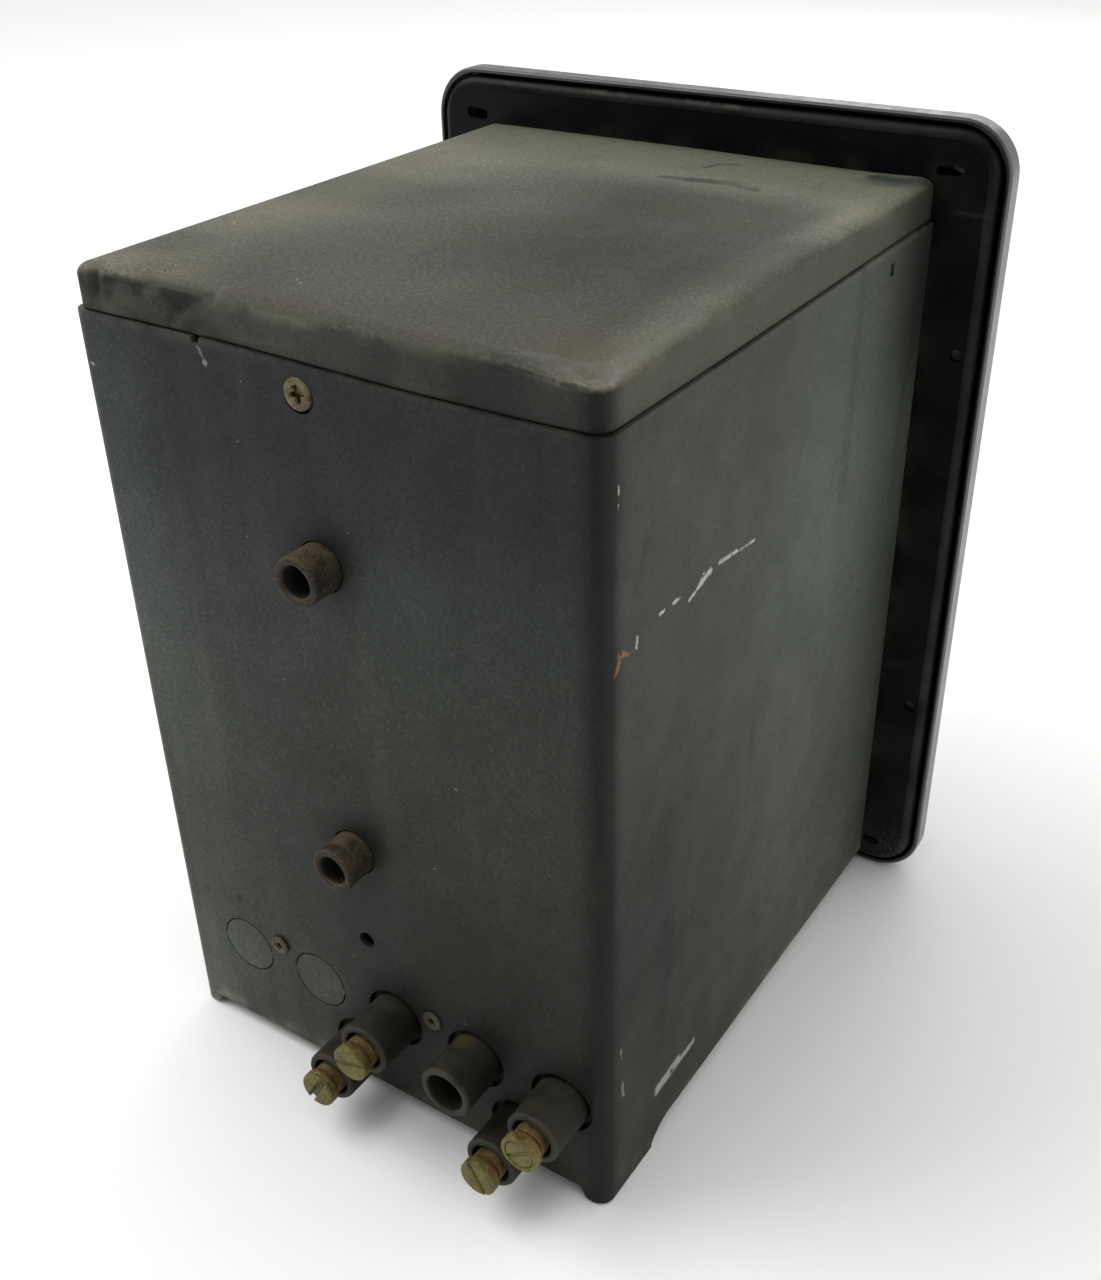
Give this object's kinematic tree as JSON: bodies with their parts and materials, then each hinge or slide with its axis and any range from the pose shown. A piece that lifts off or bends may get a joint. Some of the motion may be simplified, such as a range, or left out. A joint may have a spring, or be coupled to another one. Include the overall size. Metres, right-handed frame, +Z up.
{
  "type": "drawout relay case",
  "caption": "Steel panel-mounted drawout relay case with front flange, glazed cover, rear terminals and mounting bosses, holding a withdrawable induction-disk unit.",
  "frame": {"origin": "middle of the object's footprint, on the surface that it stands on", "axes": "+Z up; +Y out of the rear wall, where the terminals are; -Y out of the glazed front cover; +X to the left as seen from behind"},
  "size_m": [0.172, 0.212, 0.2304],
  "materials": {
    "case_paint": "old semi-matt black-grey paint, dusty, scratched, with rust at the chips",
    "cap_paint": "the same paint under a film of tan dust",
    "flange_paint": "satin near-black paint",
    "cover_gloss": "glossy black moulding",
    "moulded_black": "dull moulded phenolic, worn at the edges",
    "terminal_brass": "oxidised olive-brown brass with a coppery ring under the head",
    "bright_brass": "clean brass",
    "rusty_steel": "dark steel with tan and orange rust",
    "dirty_zinc": "dirty yellow zinc plating",
    "plain_steel": "satin plated steel",
    "cast_aluminium": "dull cast or rolled aluminium",
    "laminations": "stacked blued laminations",
    "coil_tape": "varnished dark red coil tape",
    "clear_glass": "clear window glass",
    "dial_white": "off-white dial",
    "target_orange": "orange target",
    "black_hardware": "black knurled hardware"
  },
  "bodies": {
    "case": {"case_wrap": "case_paint", "top_cap": "cap_paint", "bottom_pan": "case_paint", "mounting_flange": "flange_paint", "terminal_block": "moulded_black", "block_rivet_1": "dirty_zinc", "block_rivet_2": "dirty_zinc", "mounting_boss_lower": "rusty_steel", "mounting_boss_upper": "rusty_steel", "rear_cap_screw": "dirty_zinc", "terminal_stud_1": "terminal_brass", "terminal_stud_2": "terminal_brass", "terminal_stud_3": "terminal_brass", "terminal_stud_4": "terminal_brass", "guide_rail_left": "plain_steel", "guide_rail_right": "plain_steel", "cover_stud_lower": "plain_steel", "cover_stud_upper": "plain_steel"},
    "cradle": {"cradle_base": "plain_steel", "cradle_back": "plain_steel", "cradle_hoop": "plain_steel", "cradle_apron": "plain_steel", "cradle_contact_block": "moulded_black", "cradle_finger_1": "bright_brass", "cradle_finger_2": "bright_brass", "cradle_finger_3": "bright_brass", "cradle_finger_4": "bright_brass", "mechanism_frame": "cast_aluminium", "lower_bearing_screw": "bright_brass", "upper_bearing_pin": "plain_steel", "magnet_core": "laminations", "operating_coil": "coil_tape", "drag_magnet": "rusty_steel", "stationary_contact": "bright_brass", "seal_in_unit": "coil_tape", "tap_block": "moulded_black", "tap_screw": "bright_brass", "nameplate": "cast_aluminium"},
    "disk": {"disk_shaft": "plain_steel", "induction_disk": "cast_aluminium", "moving_contact_arm": "bright_brass", "control_spring": "bright_brass"},
    "time_dial": {"time_dial": "dial_white"},
    "seal_in_armature": {"seal_in_armature": "target_orange"},
    "upper_latch": {"upper_latch": "plain_steel"},
    "lower_latch": {"lower_latch": "plain_steel"},
    "plug": {"connection_plug": "moulded_black", "plug_blade_1": "bright_brass", "plug_blade_2": "bright_brass", "plug_blade_3": "bright_brass", "plug_blade_4": "bright_brass"},
    "cover": {"cover_frame": "cover_gloss", "window_glass": "clear_glass"},
    "cover_nut_lower": {"cover_nut_lower": "black_hardware"},
    "cover_nut_upper": {"cover_nut_upper": "black_hardware"},
    "reset_rod": {"reset_rod": "black_hardware"},
    "terminal_screw_1": {"terminal_screw_1": "terminal_brass"},
    "terminal_screw_2": {"terminal_screw_2": "terminal_brass"},
    "terminal_screw_3": {"terminal_screw_3": "terminal_brass"},
    "terminal_screw_4": {"terminal_screw_4": "terminal_brass"}
  },
  "joints": [
    {"name": "cradle_slide", "type": "slide", "parent": "case", "child": "cradle", "axis": [0, -1, 0], "range_m": [0, 0.17]},
    {"name": "disk_spin", "type": "hinge", "parent": "cradle", "child": "disk", "pos_m": [0, -0.027, 0.0946], "axis": [0, 0, 1], "range_deg": [0, 274], "stiffness_Nm_per_rad": 0.00002, "springref_deg": -17.19},
    {"name": "time_dial_turn", "type": "hinge", "parent": "cradle", "child": "time_dial", "pos_m": [0, -0.027, 0.17], "axis": [0, 0, 1], "range_deg": [0, 280]},
    {"name": "seal_in_pivot", "type": "hinge", "parent": "cradle", "child": "seal_in_armature", "pos_m": [-0.041, -0.0484, 0.1435], "axis": [1, 0, 0], "range_deg": [0, 9], "stiffness_Nm_per_rad": 0.01, "springref_deg": -11.46},
    {"name": "upper_latch_pivot", "type": "hinge", "parent": "cradle", "child": "upper_latch", "pos_m": [0, -0.0652, 0.1976], "axis": [-1, 0, 0], "range_deg": [0, 30]},
    {"name": "lower_latch_pivot", "type": "hinge", "parent": "cradle", "child": "lower_latch", "pos_m": [0.0545, -0.0675, 0.036], "axis": [-1, 0, 0], "range_deg": [0, 75]},
    {"name": "plug_pull", "type": "slide", "parent": "cradle", "child": "plug", "axis": [0, -1, 0], "range_m": [0, 0.06]},
    {"name": "cover_lift_off", "type": "slide", "parent": "plug", "child": "cover", "axis": [0, -1, 0], "range_m": [0, 0.08]},
    {"name": "cover_nut_lower_turn", "type": "hinge", "parent": "cover", "child": "cover_nut_lower", "pos_m": [0, -0.102, 0.0155], "axis": [0, -1, 0], "continuous": true},
    {"name": "cover_nut_upper_turn", "type": "hinge", "parent": "cover", "child": "cover_nut_upper", "pos_m": [0, -0.102, 0.2084], "axis": [0, -1, 0], "continuous": true},
    {"name": "reset_push", "type": "slide", "parent": "cover", "child": "reset_rod", "axis": [0, 1, 0], "range_m": [0, 0.006], "stiffness_N_per_m": 40, "springref_m": -0.003},
    {"name": "terminal_screw_1_turn", "type": "hinge", "parent": "case", "child": "terminal_screw_1", "pos_m": [-0.0052, 0.099, 0.031], "axis": [0, 1, 0], "continuous": true},
    {"name": "terminal_screw_2_turn", "type": "hinge", "parent": "case", "child": "terminal_screw_2", "pos_m": [-0.056, 0.099, 0.031], "axis": [0, 1, 0], "continuous": true},
    {"name": "terminal_screw_3_turn", "type": "hinge", "parent": "case", "child": "terminal_screw_3", "pos_m": [0.0075, 0.099, 0.014], "axis": [0, 1, 0], "continuous": true},
    {"name": "terminal_screw_4_turn", "type": "hinge", "parent": "case", "child": "terminal_screw_4", "pos_m": [-0.0433, 0.099, 0.014], "axis": [0, 1, 0], "continuous": true}
  ]
}
